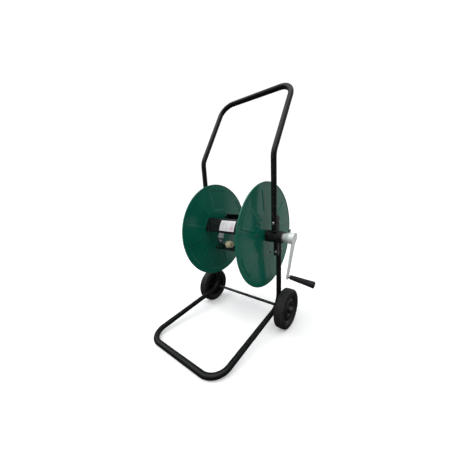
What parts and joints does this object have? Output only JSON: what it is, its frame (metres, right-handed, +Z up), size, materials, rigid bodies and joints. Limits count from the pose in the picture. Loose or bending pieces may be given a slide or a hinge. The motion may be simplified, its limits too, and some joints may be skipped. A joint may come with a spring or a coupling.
{
  "type": "garden hose reel cart",
  "caption": "Two-wheeled bent-tube cart with a crank-wound steel hose reel, side water inlet and a threaded outlet inside the drum.",
  "frame": {"origin": "on the floor, at the middle of the whole cart's footprint box", "axes": "+X to the crank side, +Y to the back (the side of the wheels), +Z up"},
  "size_m": [0.5546, 0.542, 0.9362],
  "materials": {
    "black_tube": "semi-gloss black powder coat",
    "black_plastic": "satin",
    "black_bracket": "satin black",
    "bush_nylon": "smooth",
    "zinc": "bright zinc",
    "zinc_shaft": "turned, zinc plated",
    "axle_black": "semi-gloss black",
    "wheel_plastic": "satin moulded",
    "tyre_rubber": "matt",
    "green_paint": "gloss dark green",
    "black_sheet": "satin black",
    "label_film": "semi-matt printed film",
    "brass": "machined",
    "seal_rubber": "smooth",
    "pale_plastic": "moulded",
    "grey_pipe": "plated",
    "cast_aluminium": "bright cast",
    "grip_plastic": "matt moulded"
  },
  "bodies": {
    "frame": {"base_tube": "black_tube", "handle_tube": "black_tube", "tube_end_plugs": "black_plastic", "bearing_bracket_right": "black_bracket", "bearing_bracket_left": "black_bracket", "bearing_bush_right": "bush_nylon", "bearing_bush_left": "bush_nylon", "bracket_bolts": "zinc", "bracket_washers": "zinc", "bracket_nuts": "zinc", "axle": "axle_black", "axle_sleeves": "black_tube", "wheel_washers": "zinc", "axle_caps": "black_plastic"},
    "reel": {"flange_right": "green_paint", "flange_left": "green_paint", "drum_plate_front": "black_sheet", "drum_plate_back": "black_sheet", "drum_plate_bottom": "black_sheet", "drum_screws": "zinc", "drum_nuts": "zinc", "drum_label": "label_film", "crank_shaft": "zinc_shaft", "water_shaft": "brass", "shaft_seals": "seal_rubber", "shaft_snap_ring": "zinc", "hub_spacer_right": "bush_nylon", "hub_spacer_left": "bush_nylon", "inner_elbow": "pale_plastic", "outlet_pipe": "grey_pipe", "outlet_nut": "brass", "outlet_connector": "brass", "crank_arm": "cast_aluminium", "crank_set_screw": "zinc", "grip_pin": "zinc"},
    "grip": {"grip_sleeve": "grip_plastic", "grip_cap": "grip_plastic"},
    "wheel_right": {"wheel_rim_right": "wheel_plastic", "tyre_right": "tyre_rubber"},
    "wheel_left": {"wheel_rim_left": "wheel_plastic", "tyre_left": "tyre_rubber"},
    "inlet_swivel": {"swivel_housing": "brass", "swivel_gland_nut": "brass"}
  },
  "joints": [
    {"name": "reel_spin", "type": "hinge", "parent": "frame", "child": "reel", "pos_m": [-0.04412, 0.071, 0.378], "axis": [1, 0, 0], "continuous": true},
    {"name": "grip_spin", "type": "hinge", "parent": "reel", "child": "grip", "pos_m": [0.22139, 0.0634, 0.23302], "axis": [0.9954, -0.005, -0.0957], "continuous": true},
    {"name": "wheel_right_spin", "type": "hinge", "parent": "frame", "child": "wheel_right", "pos_m": [0.15988, 0.113, 0.081], "axis": [1, 0, 0], "continuous": true},
    {"name": "wheel_left_spin", "type": "hinge", "parent": "frame", "child": "wheel_left", "pos_m": [-0.24812, 0.113, 0.081], "axis": [1, 0, 0], "continuous": true},
    {"name": "inlet_swivel_turn", "type": "hinge", "parent": "frame", "child": "inlet_swivel", "pos_m": [-0.25962, 0.071, 0.378], "axis": [1, 0, 0], "continuous": true}
  ]
}
